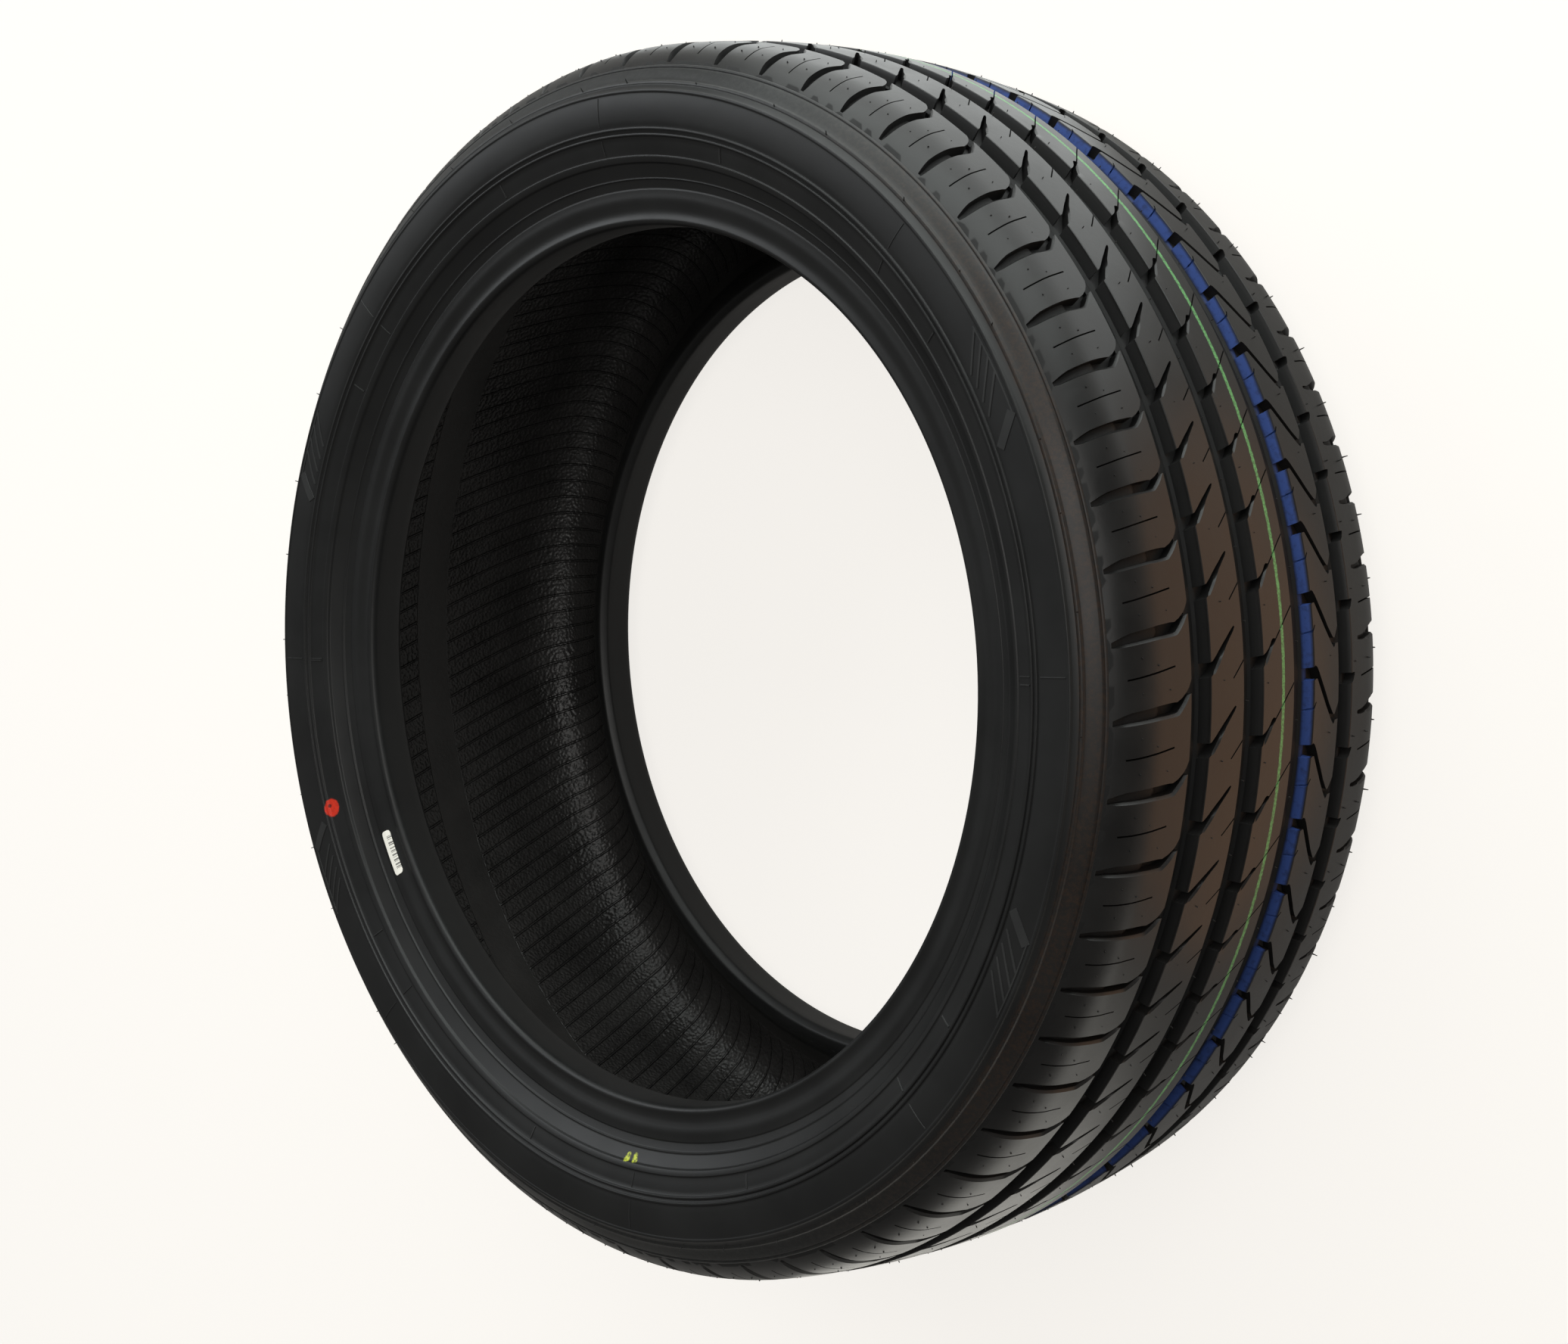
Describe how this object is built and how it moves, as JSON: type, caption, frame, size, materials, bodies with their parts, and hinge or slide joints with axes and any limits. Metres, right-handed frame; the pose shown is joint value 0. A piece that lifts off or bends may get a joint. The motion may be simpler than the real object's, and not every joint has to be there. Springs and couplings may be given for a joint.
{
  "type": "car tyre",
  "caption": "Tubeless summer car tyre with an asymmetric tread, circumferential grooves, shoulder slots and a paper label on its sidewall.",
  "frame": {"origin": "centre of the wheel: on the spin axis, midway between the two beads", "axes": "+Z along the spin axis, out of the sidewall that carries the label; +X and +Y radial, label near azimuth 330 degrees clockwise from +X seen from above"},
  "size_m": [0.693, 0.693, 0.2456],
  "materials": {
    "rubber": "satin, near black",
    "label_paper": "matt, off-white with dark bars"
  },
  "bodies": {
    "root": {"tyre": "rubber", "barcode_label": "label_paper"}
  },
  "joints": []
}
